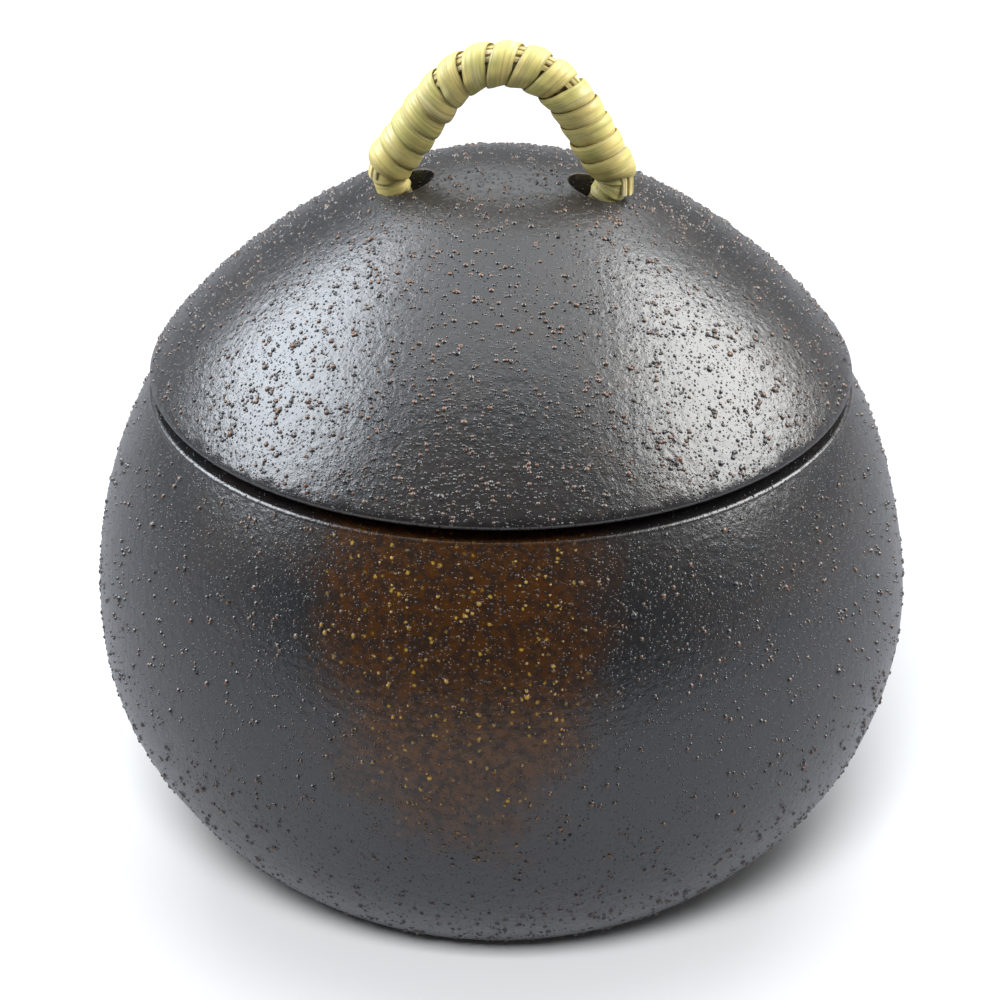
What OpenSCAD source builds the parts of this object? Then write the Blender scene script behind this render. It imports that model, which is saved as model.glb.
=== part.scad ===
// Tea caddy: a globular stoneware jar with a gallery rim, a domed stoneware lid that drops onto the
// gallery, and an arched lifting handle of rattan. Three round canes run over the arch, down through
// two holes in the lid and back together under it, where a binding holds their ends. Thin lining
// strands lie along the outside of the arch, and one flat rattan strip is wound round everything.
// The foot stands on Z = 0, centred on the Z axis. The handle lies in the XZ plane. -Y is the front.

/* [Jar] */
// Outer diameter at the belly, the widest level
belly_d = 110; // [104:0.5:140]
// Height of the belly above the foot
belly_h = 39.3; // [32:0.1:48]
// Height of the rim above the foot
rim_h = 70.3; // [64:0.1:84]
// Outer diameter at the rim
rim_d = 94; // [90:0.5:100]
// Diameter of the foot that it stands on
foot_d = 59.6; // [50:0.1:74]
// Thickness of the jar wall
jar_wall = 4.2; // [3:0.1:6]
// Thickness of the floor above the foot recess
floor_t = 5; // [3.5:0.1:8]
// Width of the ring that touches the table
foot_ring_w = 6; // [4:0.5:12]
// Depth of the recess turned into the foot
foot_recess = 1.2; // [0.6:0.1:2]

/* [Gallery and lid seat] */
// Thickness of the rim above the gallery
rim_t = 3.6; // [2.8:0.1:5]
// Depth of the gallery ledge below the rim
ledge_drop = 4; // [2.5:0.1:6]
// Width of the ledge that the lid rests on
ledge_w = 2.6; // [1.8:0.1:4]
// Height of the short upright lip under the ledge
ledge_lip = 2.5; // [1.5:0.1:4]
// Height of the slope that carries the ledge
corbel_h = 9; // [6:0.5:12]
// Radius of the rounded rim edges
rim_round = 0.6; // [0.3:0.05:1]
// Radial play of the lid inside the rim
lid_play = 0.5; // [0.3:0.05:1]

/* [Lid] */
// Diameter of the lid at its edge
lid_d = 94.3; // [90:0.1:101]
// Height of the dome above its edge
dome_h = 28.6; // [22:0.1:36]
// Radius of the rounded edge below the dome
edge_round = 0.7; // [0.3:0.05:1]
// Height of the shadow gap between the rim and the underside of the lid edge
shadow_gap = 1.5; // [1:0.05:3]
// Thickness of the lid at its middle
lid_wall = 4.2; // [3:0.1:6]
// Thickness of the locating ring under the lid
ring_t = 3.2; // [2.4:0.1:4.5]
// How full the dome is: 2 is an ellipse, less is more like a cone
dome_power = 1.9; // [1.6:0.01:2.2]
// How square the dome's shoulder is: 0.5 is square, 1 is none
dome_shoulder = 0.92; // [0.75:0.01:1]
// Diameter of each handle hole
hole_d = 7.2; // [6.8:0.1:8.6]
// Distance between the centres of the handle holes
hole_span = 25; // [23:0.1:32]

/* [Handle] */
// Height of the middle of the grip above the top of the lid
grip_h = 15.2; // [14:0.1:24]
// Radius of the arch along the middle of the grip
arch_r = 10.2; // [8.5:0.1:11]
// How far the top of the arch leans to the right
arch_lean = 0.5; // [0:0.1:1]
// Height above the lid at which the canes start to turn in to the holes
ankle_h = 2.5; // [2.2:0.1:3.5]
// How far the canes stand outside the hole centres at that height
ankle_out = 2.3; // [1.8:0.1:2.6]
// Lean of the canes towards each other as they pass through the holes
lean_in = 25; // [20:0.5:30]
// Radius along the middle of each turn of the canes
turn_r = 2.6; // [2.5:0.1:3.2]
// Distance of the canes' crossing below the underside of the lid
cross_drop = 2.6; // [2.5:0.1:5]
// Diameter of a core cane
cane_d = 1.8; // [1.5:0.05:1.85]
// Free space between neighbouring canes
cane_gap = 0.05; // [0.03:0.01:0.1]
// Gap between the two ends of a cane under the lid
cane_end_gap = 1; // [0.4:0.1:2]

/* [Lining and wrapping] */
// Number of lining strands
strand_count = 5; // [3:1:5]
// Thickness of a lining strand
strand_t = 0.4; // [0.3:0.02:0.44]
// Width of a lining strand
strand_w = 0.8; // [0.6:0.02:0.84]
// Free space between neighbouring strands
strand_gap = 0.13; // [0.1:0.01:0.2]
// Free height of the left strand tips above the lid
tip_clear_left = 2.5; // [0.8:0.1:3]
// Free height of the right strand tips above the lid
tip_clear_right = 0.8; // [0.6:0.1:3]
// Thickness of the wrapping strip
strip_t = 0.36; // [0.3:0.02:0.5]
// Width of the wrapping strip
strip_w = 3.2; // [2.4:0.1:3.6]
// Advance of each turn of the wrapping along the legs
leg_pitch = 2.7; // [2.5:0.05:3.6]
// Advance of each turn of the wrapping round the arch, along the middle of the grip
arch_pitch = 3.4; // [2.8:0.05:3.8]
// Free space between layers of the wrapping and over the lining
strip_clear = 0.08; // [0.06:0.01:0.12]
// Number of turns in the binding under the lid
bind_turns = 4; // [3:1:5]
// Width of the binding strip
bind_w = 2.4; // [1.6:0.1:2.8]

/* [Hidden] */
$fn = 96;
curve_steps = 22;       // points along each curved stretch of an outline
edge_steps = 4;         // points along a rounded edge
turn_steps = 24;        // cross-sections for each turn of a wound strip
bend_step = 5;          // most degrees between cross-sections along a bent cane
cane_sides = 16;        // corners round a cane

belly_r = belly_d / 2;
rim_r = rim_d / 2;
foot_r = foot_d / 2;
// Half heights of the two ellipses that make the jar's outline, above and below the belly.
upper_half = (rim_h - belly_h) / sqrt(1 - pow(rim_r / belly_r, 2));
lower_half = belly_h / sqrt(1 - pow(foot_r / belly_r, 2));
floor_z = foot_recess + floor_t;
seat_r = rim_r - rim_t;
ledge_r = seat_r - ledge_w;
ledge_z = rim_h - ledge_drop;
corbel_z = ledge_z - ledge_lip - corbel_h;
foot_edge = 0.8;        // bevel round the foot

lid_r = lid_d / 2;
lid_z = rim_h + shadow_gap;                 // underside of the lid edge
dome_z = lid_z + edge_round;
lid_top_z = dome_z + dome_h;
ring_r = seat_r - lid_play;
ring_in_r = ring_r - ring_t;
hole_x = hole_span / 2;
hole_r = hole_d / 2;
hole_z = dome_out(hole_x);                  // top of the lid at the hole centres

arch_z = lid_top_z + grip_h - arch_r;       // centre of the arch
ankle_z = hole_z + ankle_h;
cross_z = dome_in(hole_x) - cross_drop;     // middle of the canes' crossing under the lid
cane_r = cane_d / 2;
// The three canes sit in a triangle, moved in from the middle of the grip to leave room for the lining.
cane_step = cane_d + cane_gap;
cane_shift = 0.4;
canes = [
    [-cane_shift + cane_step / (2 * sqrt(3)), -cane_step / 2],
    [-cane_shift + cane_step / (2 * sqrt(3)), cane_step / 2],
    [-cane_shift - cane_step / sqrt(3), 0]
];
bundle_r = cane_step / sqrt(3) + cane_r;    // the canes' own outer radius
wrap_in_r = bundle_r + strand_t + strip_clear;  // inside of the wrapping
strand_ring = sqrt(pow(wrap_in_r - strip_clear, 2) - pow(strand_w / 2, 2)) - strand_t / 2;
strand_in_r = strand_ring - strand_t / 2;   // inner faces of the strands
// Angle between neighbouring strands round the grip, for their inner corners to keep strand_gap apart.
strand_step = 2 * (atan2(strand_w / 2, strand_in_r)
    + asin(strand_gap / 2 / norm([strand_w / 2, strand_in_r])));

glaze = [0.22, 0.21, 0.21];
lid_glaze = [0.25, 0.25, 0.26];
cane = [0.80, 0.74, 0.50];
strand = [0.87, 0.82, 0.60];
strip = [0.78, 0.75, 0.47];

// ---- outlines -------------------------------------------------------------------------------

// Radius of the jar's outside, or of a surface that lies inset inside it, at height z.
function jar_r(z, inset = 0) = let (half = (z > belly_h ? upper_half : lower_half) - inset)
    (belly_r - inset) * sqrt(1 - pow((z - belly_h) / half, 2));

// Height of the lid's outer and inner dome at radius r.
function dome(r, edge_r, base_z, height) =
    base_z + height * pow(1 - pow(min(r, edge_r) / edge_r, dome_power), dome_shoulder);
function dome_out(r) = dome(r, lid_r, dome_z, dome_h);
function dome_in(r) = dome(r, ring_in_r, dome_z, dome_h - lid_wall);

function span(a, b, n) = [for (i = [0:n]) a + (b - a) * i / n];

// A quarter round of radius r about a centre, from angle a0 to angle a1.
function round_edge(centre, r, a0, a1) =
    [for (a = span(a0, a1, edge_steps)) centre + r * [cos(a), sin(a)]];

module jar_body() {
    outside = [for (z = span(foot_edge, rim_h - rim_round, curve_steps)) [jar_r(z), z]];
    top_r = jar_r(rim_h - rim_round);
    rim_out = round_edge([top_r - rim_round, rim_h - rim_round], rim_round, 0, 90);
    rim_in = round_edge([seat_r + rim_round, rim_h - rim_round], rim_round, 90, 180);
    ledge = [[seat_r, ledge_z], [ledge_r, ledge_z], [ledge_r, ledge_z - ledge_lip]];
    inside = [for (z = span(corbel_z, floor_z, curve_steps)) [jar_r(z, jar_wall), z]];
    foot_in_r = foot_r - foot_ring_w;
    foot = [
        [0, floor_z], [0, foot_recess], [foot_in_r - foot_recess, foot_recess],
        [foot_in_r, 0], [jar_r(foot_edge) - foot_edge, 0]
    ];
    color(glaze)
        rotate_extrude()
            polygon(concat(outside, rim_out, rim_in, ledge, inside, foot));
}

module lid() {
    // Equal steps of angle crowd the points towards the steep edge of the dome.
    outside = [for (a = span(90 - 90 / curve_steps, 0, curve_steps - 1)) let (r = lid_r * sin(a))
        [r, dome_out(r)]];
    inside = [for (a = span(0, 90, curve_steps)) let (r = ring_in_r * sin(a)) [r, dome_in(r)]];
    ring_round = 0.4;
    ring_foot = concat(
        round_edge([ring_in_r + ring_round, ledge_z + ring_round], ring_round, 180, 270),
        round_edge([ring_r - ring_round, ledge_z + ring_round], ring_round, 270, 360)
    );
    edge = round_edge([lid_r - edge_round, dome_z], edge_round, 270, 360);
    color(lid_glaze)
        difference() {
            rotate_extrude()
                polygon(concat(outside, inside, ring_foot, [[ring_r, lid_z]], edge));
            for (x = [-hole_x, hole_x])
                translate([x, 0, ledge_z])
                    cylinder(d = hole_d, h = lid_top_z);
        }
}

// ---- the line that the handle follows -------------------------------------------------------

// Each leg is the tangent from its ankle to the arch, for a side of -1 or 1.
function ankle(side) = [side * (hole_x + ankle_out), ankle_z];
function splay(side) = let (d = ankle(side) - [arch_lean, arch_z])
    atan2(d[1], side * d[0]) + acos(arch_r / norm(d));
function out_angle(side) = side < 0 ? 180 - splay(-1) : splay(1);
function outward(side) = [cos(out_angle(side)), sin(out_angle(side))];
function shoulder(side) = [arch_lean, arch_z] + arch_r * outward(side);
function leg_len(side) = norm(shoulder(side) - ankle(side));

arch_len = arch_r * (180 - splay(-1) - splay(1)) * PI / 180;
arch_start = leg_len(-1);
arch_end = arch_start + arch_len;
grip_len = arch_end + leg_len(1);

// Along the grip from the left ankle to the right one: a point at distance s, lifted off the middle
// line by up along the outward normal.
function grip_point(s, up) =
    s < arch_start ? ankle(-1) + (shoulder(-1) - ankle(-1)) * s / arch_start + up * outward(-1)
    : s > arch_end ? ankle(1) + (shoulder(1) - ankle(1)) * (grip_len - s) / leg_len(1) + up * outward(1)
    : let (a = out_angle(-1) - (s - arch_start) / arch_r * 180 / PI)
        [arch_lean, arch_z] + (arch_r + up) * [cos(a), sin(a)];

// A closed solid through rings of k corners each.
module rings_solid(rings) {
    n = len(rings);
    k = len(rings[0]);
    points = [for (ring = rings) each ring];
    sides = [for (i = [0:n - 2], j = [0:k - 1]) let (a = k * i + j, b = k * i + (j + 1) % k)
        each [[a, b, b + k], [a, b + k, a + k]]];
    start = [for (j = [k - 1:-1:0]) j];
    end = [for (j = [0:k - 1]) k * (n - 1) + j];
    polyhedron(points = points, faces = concat(sides, [start, end]), convexity = 10);
}

// The solid of one section, a list of [up, depth], carried along stations of [point, normal angle].
module sweep(stations, section) {
    rings_solid([for (st = stations)
        let (out = [cos(st[1]), sin(st[1])])
            [for (c = section) let (p = st[0] + c[0] * out) [p[0], c[1], p[1]]]]);
}

// Stations of an arc in the XZ plane, a step every few degrees.
function arc(centre, r, a0, a1) =
    [for (a = span(a0, a1, ceil(abs(a1 - a0) / bend_step))) [centre + r * [cos(a), sin(a)], a]];
function arch_stations() = arc([arch_lean, arch_z], arch_r, out_angle(-1), out_angle(1));
function ankle_turn(side) = ankle(side) - turn_r * outward(side);

// One core cane: over the arch, down through both holes and back together under the lid.
module core_cane(i) {
    // Where the ankle turns end, and the centres of the turns into the crossing.
    function inner_turn(side) = let (
        hole_end = ankle_turn(side) + turn_r * [side * cos(lean_in), -sin(lean_in)],
        drop = hole_end[1] - (cross_z + turn_r * (1 - sin(lean_in)))
    ) [hole_end[0] - side * (drop * tan(lean_in) + turn_r * cos(lean_in)), cross_z + turn_r];
    stations = concat(
        [[[-cane_end_gap / 2, cross_z], 270]],
        arc(inner_turn(-1), turn_r, 270, 180 + lean_in),
        arc(ankle_turn(-1), turn_r, 180 + lean_in, out_angle(-1)),
        arch_stations(),
        arc(ankle_turn(1), turn_r, out_angle(1), -lean_in),
        arc(inner_turn(1), turn_r, -lean_in, -90),
        [[[cane_end_gap / 2, cross_z], -90]]
    );
    color(cane)
        sweep(stations, [for (j = [0:cane_sides - 1]) let (a = 360 * j / cane_sides)
            canes[i] + cane_r * [cos(a), sin(a)]]);
}

// One flat lining strand: along the outside of the arch, then turning down at each ankle to a cut
// tip above the lid.
module lining_strand(i) {
    a = (i - (strand_count + 1) / 2) * strand_step;
    mid = strand_ring * [cos(a), sin(a)];
    section = [for (c = [[-1, -1], [-1, 1], [1, 1], [1, -1]])
        mid + c[0] * strand_t / 2 * [cos(a), sin(a)] + c[1] * strand_w / 2 * [-sin(a), cos(a)]];
    function tip_z(side) = let (x = ankle_turn(side)[0] + side * (turn_r + mid[0] - strand_t))
        min(dome_out(norm([x, mid[1]])) + (side < 0 ? tip_clear_left : tip_clear_right),
            ankle_turn(side)[1] - 0.1);
    if (i <= strand_count)
        color(strand)
            sweep(concat(
                [[[ankle_turn(-1)[0] - turn_r, tip_z(-1)], 180]],
                arc(ankle_turn(-1), turn_r, 180, out_angle(-1)),
                arch_stations(),
                arc(ankle_turn(1), turn_r, out_angle(1), 0),
                [[[ankle_turn(1)[0] + turn_r, tip_z(1)], 0]]
            ), section);
}

// ---- wound strips ---------------------------------------------------------------------------

// A point of the wrapping: s along the grip, turned by the angle a from the outside towards the
// front, at the distance rho from the middle line.
function wrap_point(s, a, rho) = let (p = grip_point(s, rho * cos(a))) [p[0], -rho * sin(a), p[1]];

// Turns wound by the time the strip has reached s, and the s that a number of turns reaches.
function turns_at(s) = min(s, arch_start) / leg_pitch
    + max(0, min(s, arch_end) - arch_start) / arch_pitch + max(0, s - arch_end) / leg_pitch;
function reach(t) = let (t0 = turns_at(arch_start), t1 = turns_at(arch_end))
    t < t0 ? t * leg_pitch : t < t1 ? arch_start + (t - t0) * arch_pitch : arch_end + (t - t1) * leg_pitch;

// The advance of a turn as it is felt at angle a: longer outside the arch, shorter inside it.
function felt_pitch(s, a) = s > arch_start && s < arch_end
    ? arch_pitch * (1 + (wrap_in_r + strip_t) * cos(a) / arch_r) : leg_pitch;

// Where turns overlap, each lies over the one before it, so that the strip leans like a shingle.
function shingle(s, a) = let (p = felt_pitch(s, a), lap = min(1, max(0, (strip_w + 0.35 - p) / 0.3)))
    lap * (strip_t + strip_clear) / p;

module handle_wrap() {
    first = turns_at(strip_w / 2);
    n = floor((turns_at(grip_len - strip_w / 2) - first) * turn_steps);
    rings = [for (i = [0:n]) let (
        s = reach(first + i / turn_steps),
        a = -360 * i / turn_steps,
        lift = shingle(s, a) * strip_w
    ) concat(
        [for (u = span(0, 1, 3)) wrap_point(s + (u - 0.5) * strip_w, a, wrap_in_r + lift * (1 - u))],
        [for (u = span(1, 0, 3))
            wrap_point(s + (u - 0.5) * strip_w, a, wrap_in_r + lift * (1 - u) + strip_t)]
    )];
    color(strip)
        rings_solid(rings);
}

// The binding that holds the cane ends together under the lid.
module cane_binding() {
    in_r = bundle_r + strip_clear;
    pitch = bind_w + 3 * strip_clear;
    n = bind_turns * turn_steps;
    rings = [for (i = [0:n]) let (
        x = (i / n - 0.5) * bind_turns * pitch,
        a = 360 * i / turn_steps
    ) [for (c = [[-1, 0], [1, 0], [1, 1], [-1, 1]]) let (rho = in_r + c[1] * strip_t)
        [x + c[0] * bind_w / 2, rho * cos(a), cross_z + cane_shift + rho * sin(a)]]];
    color(strip)
        rings_solid(rings);
}

jar_body();
lid();
core_cane(0);  // core_cane_front
core_cane(1);  // core_cane_back
core_cane(2);  // core_cane_inner
for (i = [1:5])
    lining_strand(i);
handle_wrap();
cane_binding();
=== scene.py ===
import math

import bpy
import numpy as np
from bpy.props import (
    FloatProperty,
    FloatVectorProperty,
    IntProperty,
    PointerProperty,
)
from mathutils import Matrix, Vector, geometry, kdtree


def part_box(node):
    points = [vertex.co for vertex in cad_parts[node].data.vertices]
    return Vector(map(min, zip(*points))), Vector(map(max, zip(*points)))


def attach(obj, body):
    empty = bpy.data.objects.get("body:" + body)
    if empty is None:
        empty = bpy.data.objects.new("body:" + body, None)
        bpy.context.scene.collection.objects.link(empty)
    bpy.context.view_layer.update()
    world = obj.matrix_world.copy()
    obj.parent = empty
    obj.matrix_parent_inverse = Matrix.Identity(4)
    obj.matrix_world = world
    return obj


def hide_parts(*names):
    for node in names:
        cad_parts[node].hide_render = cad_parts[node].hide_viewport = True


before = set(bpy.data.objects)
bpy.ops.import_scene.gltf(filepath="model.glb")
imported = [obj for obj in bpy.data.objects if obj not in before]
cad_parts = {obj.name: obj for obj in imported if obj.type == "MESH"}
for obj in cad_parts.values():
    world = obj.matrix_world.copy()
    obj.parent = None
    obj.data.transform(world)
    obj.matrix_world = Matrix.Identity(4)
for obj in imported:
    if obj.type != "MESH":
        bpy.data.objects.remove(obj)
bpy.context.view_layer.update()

bl_info = {
    "name": "Stoneware tea caddy",
    "version": (1, 0, 0),
    "blender": (4, 5, 0),
    "location": "3D View > Sidebar > Tea caddy",
    "description": "Builds a grained stoneware tea caddy with a wrapped rattan handle",
    "category": "Add Mesh",
}

MM = 0.001
FOOT_BEVEL = 0.8 * MM      # bevel round the jar's foot
RIM_ROUND = 0.6 * MM       # radius of the jar's rim
LEDGE_LIP = 2.5 * MM       # thickness of the ledge under the lid's ring
CORBEL_HEIGHT = 9 * MM     # slope from the wall up to the ledge
FLOOR_LEVEL = 6.2 * MM     # height of the inside's floor
FOOT_RING = 6 * MM         # width of the foot ring
FOOT_RECESS = 1.2 * MM     # depth of the hollow inside the foot ring
HOLE_COLUMNS = 40          # points round a handle hole
LEFT_TIP = 2.5 * MM        # height of the left strand tips above the lid
PATCH_MIDDLE = (-2.2, 62.0)   # x and z of the brown patch's middle, in millimetres
PATCH_HALF = (20.0, 36.0)     # its half width and half height, in millimetres
DARK_MOTTLE = (0.012, 0.010, 0.010)
JAR_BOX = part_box("jar_body")
LID_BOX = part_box("lid")


def length(name, description, default_mm, low_mm=0.0, high_mm=500.0):
    return FloatProperty(name=name, description=description, default=default_mm * MM,
                         min=low_mm * MM, max=high_mm * MM, precision=5, unit="LENGTH")


def number(name, description, default, **limits):
    return FloatProperty(name=name, description=description, default=default, **limits)


def colour(name, description, default):
    return FloatVectorProperty(name=name, description=description, default=default, size=3,
                               min=0.0, max=1.0, subtype="COLOR")


# ---- sizes and colours that can be changed ---------------------------------------------------


class StonewareSettings(bpy.types.PropertyGroup):
    """Sizes of the turned pieces and of the grains that stand out of their glaze."""

    belly_radius: length("Belly radius", "Outer radius of the jar at its widest level", 55.0)
    belly_height: length("Belly height", "Height of the jar's widest level", 39.3)
    rim_radius: length("Rim radius", "Outer radius of the jar at its rim", 47.0)
    foot_radius: length("Foot radius", "Radius of the jar at the table", 29.8)
    jar_wall: length("Jar wall", "Thickness of the jar wall", 4.2)
    rim_width: length("Rim width", "Thickness of the rim above the gallery", 3.6)
    ledge_width: length("Ledge width", "Width of the ledge that the lid rests on", 2.6)
    ledge_drop: length("Ledge drop", "Depth of the ledge below the rim", 4.0)
    lid_radius: length("Lid radius", "Radius of the lid at its edge", 47.15)
    edge_round: length("Lid edge", "Radius of the lid's rounded lower edge", 0.7)
    dome_height: length("Dome height", "Height of the dome above its edge", 28.6)
    dome_power: number("Dome power", "How full the dome is", 1.9)
    dome_shoulder: number("Dome shoulder", "How square the dome's shoulder is", 0.92)
    lid_wall: length("Lid wall", "Thickness of the lid at its middle", 4.2)
    ring_width: length("Locating ring", "Thickness of the ring under the lid", 3.2)
    lid_play: length("Lid play", "Radial play of the lid inside the rim", 0.5)
    hole_span: length("Hole span", "Distance between the centres of the handle holes", 25.0)
    hole_radius: length("Hole radius", "Radius of each handle hole", 3.6)
    mesh_step: length("Mesh step", "Spacing of the smooth surface's points", 1.6)
    coarse_jar: number("Coarse grains, jar", "Coarse grains per square millimetre", 0.14)
    fine_jar: number("Fine grains, jar", "Fine grains per square millimetre", 0.22)
    coarse_lid: number("Coarse grains, lid", "Coarse grains per square millimetre", 0.38)
    fine_lid: number("Fine grains, lid", "Fine grains per square millimetre", 0.50)
    seed: IntProperty(name="Seed", description="Start of the grain pattern", default=7)


class GlazeSettings(bpy.types.PropertyGroup):
    """Colours of the stoneware."""

    iron: colour("Iron glaze", "Dark glaze over most of the pot", (0.011, 0.0115, 0.013))
    iron_worn: colour("Thin iron glaze", "Where the glaze is thinner", (0.022, 0.017, 0.015))
    rust: colour("Rust", "Brown breaking on the front", (0.078, 0.027, 0.0040))
    rust_fade: colour("Faded rust", "Lower part of the brown breaking", (0.115, 0.048, 0.014))
    tip: colour("Grain tip", "Clay showing on the tips of the grains", (0.190, 0.072, 0.016))
    gold: colour("Gold grain", "Grains inside the brown breaking", (0.600, 0.370, 0.045))
    clay: colour("Bare clay", "Unglazed clay of the foot and the seat", (0.150, 0.085, 0.050))
    gloss_roughness: number("Gloss roughness", "Roughness of the glaze", 0.23, min=0.0, max=1.0)


class HandleSettings(bpy.types.PropertyGroup):
    """Sizes of the rattan handle."""

    grip_height: length("Grip height", "Height of the grip's middle above the lid", 15.2)
    arch_radius: length("Arch radius", "Radius of the arch along the grip's middle", 10.2)
    arch_lean: length("Arch lean", "Shift of the arch to the right", 0.5)
    ankle_height: length("Ankle height", "Height at which the canes turn in to the holes", 2.5)
    ankle_out: length("Ankle offset", "Distance of the canes outside the hole centres", 2.3)
    turn_radius: length("Turn radius", "Radius of each turn of the canes", 2.6)
    lean_in: number("Lean in", "Lean of the canes inside the holes", 25.0)
    cross_drop: length("Crossing drop", "Depth of the crossing below the lid", 2.6)
    cane_radius: length("Cane radius", "Radius of a core cane", 0.9)
    cane_step: length("Cane step", "Distance between neighbouring canes", 1.85)
    cane_shift: length("Cane shift", "Shift of the canes towards the inside", 0.4)
    strand_width: length("Strand width", "Width of a lining strand", 0.8)
    strand_thickness: length("Strand thickness", "Thickness of a lining strand", 0.4)
    strand_gap: length("Strand gap", "Free space between neighbouring strands", 0.13)
    wrap_inside: length("Wrap inside", "Inner radius of the wrapping", 2.45)
    strip_width: length("Strip width", "Width of the wrapping strip", 3.2)
    strip_thickness: length("Strip thickness", "Thickness of the wrapping strip", 0.36)
    strip_clear: length("Strip play", "Free space between layers", 0.08)
    leg_pitch: length("Leg pitch", "Advance of each turn along the legs", 2.7)
    arch_pitch: length("Arch pitch", "Advance of each turn round the arch", 3.4)
    bind_width: length("Binding width", "Width of the binding strip", 2.4)
    bind_turns: IntProperty(name="Binding turns", description="Turns of the binding under the lid", default=4)


class RattanSettings(bpy.types.PropertyGroup):
    """Colours of the rattan."""

    skin: colour("Rattan skin", "Outside of the wrapping strip", (0.730, 0.600, 0.210))
    skin_green: colour("Green skin", "Greener stretches of the strip", (0.620, 0.560, 0.180))
    pale: colour("Split rattan", "Pale inside of split strands", (0.780, 0.660, 0.330))
    cane: colour("Core cane", "Peeled canes of the core", (0.420, 0.320, 0.130))
    shade: colour("Fibre shade", "Dark lines between fibres", (0.160, 0.120, 0.040))
    # The fibre shade colour also serves as the painted shade in the creases between the strip's turns.
    cream: colour("Cream streak", "Pale streaks along the fibres", (0.800, 0.710, 0.400))


class StudioSettings(bpy.types.PropertyGroup):
    """Camera and lights."""

    distance: number("Camera distance", "From the camera to the target", 0.700, unit="LENGTH")
    elevation: number("Elevation", "Angle of the view above the table", math.radians(27.59), subtype="ANGLE")
    azimuth: number("Azimuth", "Turn of the view to the right", math.radians(3.7), subtype="ANGLE")
    target_height: number("Target height", "Height that the camera looks at", 0.05181, unit="LENGTH")
    lens: number("Focal length", "In millimetres on a 36 mm sensor", 184.83)
    left_power: number("Left softbox", "Power in watts", 10.4)
    right_power: number("Right softbox", "Power in watts", 10.0)
    top_power: number("Top light", "Power in watts", 13.0)
    fill_power: number("Floor fill", "Power in watts, on the floor alone", 21.0)
    ambient: number("Ambient", "Strength of the surrounding white", 0.20)


GROUPS = {
    "caddy_stoneware": StonewareSettings,
    "caddy_glaze": GlazeSettings,
    "caddy_handle": HandleSettings,
    "caddy_rattan": RattanSettings,
    "caddy_studio": StudioSettings,
}


# ---- materials -------------------------------------------------------------------------------


class Nodes:
    """Adds nodes to one node tree; an input is a value or another node's output."""

    def __init__(self, tree):
        self.tree = tree

    def add(self, kind, settings=None, **inputs):
        node = self.tree.nodes.new(kind)
        for key, value in (settings or {}).items():
            setattr(node, key, value)
        for key, value in inputs.items():
            self.put(node.inputs[key.replace("_", " ")], value)
        return node.outputs

    def put(self, socket, value):
        if isinstance(value, bpy.types.NodeSocket):
            self.tree.links.new(value, socket)
        elif socket.type == "RGBA" and len(value) == 3:
            socket.default_value = (*value, 1.0)
        else:
            socket.default_value = value

    def math(self, operation, *values, clamp=False):
        node = self.tree.nodes.new("ShaderNodeMath")
        node.operation, node.use_clamp = operation, clamp
        for socket, value in zip(node.inputs, values):
            self.put(socket, value)
        return node.outputs[0]

    def vector(self, operation, a, b=None, scale=None):
        node = self.tree.nodes.new("ShaderNodeVectorMath")
        node.operation = operation
        self.put(node.inputs[0], a)
        if b is not None:
            self.put(node.inputs[1], b)
        if scale is not None:
            self.put(node.inputs["Scale"], scale)
        return node.outputs[0]

    def mix(self, amount, a, b, blend="MIX"):
        node = self.tree.nodes.new("ShaderNodeMix")
        node.data_type, node.blend_type = "RGBA", blend
        for key, value in ((0, amount), (6, a), (7, b)):
            self.put(node.inputs[key], value)
        return node.outputs[2]

    def fade(self, value, low, high, to_low=0.0, to_high=1.0):
        return self.add("ShaderNodeMapRange", {"interpolation_type": "SMOOTHSTEP"}, Value=value,
                        From_Min=low, From_Max=high, To_Min=to_low, To_Max=to_high)["Result"]

    def noise(self, place, scale, detail=2.0, rough=0.5):
        return self.add("ShaderNodeTexNoise", Vector=place, Scale=scale, Detail=detail, Roughness=rough)["Fac"]

    def millimetres(self):
        """The place on the object, in millimetres."""
        return self.vector("SCALE", self.add("ShaderNodeTexCoord")["Object"], scale=1000.0)

    def attribute(self, name, output="Fac"):
        return self.add("ShaderNodeAttribute", {"attribute_name": name})[output]

    def group(self, tree, **inputs):
        return self.add("ShaderNodeGroup", {"node_tree": tree}, **inputs)


def node_group(name, inputs, outputs, fill):
    """A named node group, filled the first time that it is asked for."""
    tree = bpy.data.node_groups.get(name)
    if tree:
        return tree
    tree = bpy.data.node_groups.new(name, "ShaderNodeTree")
    kinds = {"colour": "NodeSocketColor", "value": "NodeSocketFloat", "vector": "NodeSocketVector"}
    for key, (kind, default) in inputs.items():
        socket = tree.interface.new_socket(key, in_out="INPUT", socket_type=kinds[kind])
        socket.default_value = (*default, 1.0) if kind == "colour" else default
    for key, kind in outputs.items():
        tree.interface.new_socket(key, in_out="OUTPUT", socket_type=kinds[kind])
    nodes = Nodes(tree)
    source = nodes.add("NodeGroupInput")
    sink = tree.nodes.new("NodeGroupOutput")
    for key, value in fill(nodes, source).items():
        nodes.put(sink.inputs[key], value)
    return tree


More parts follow.
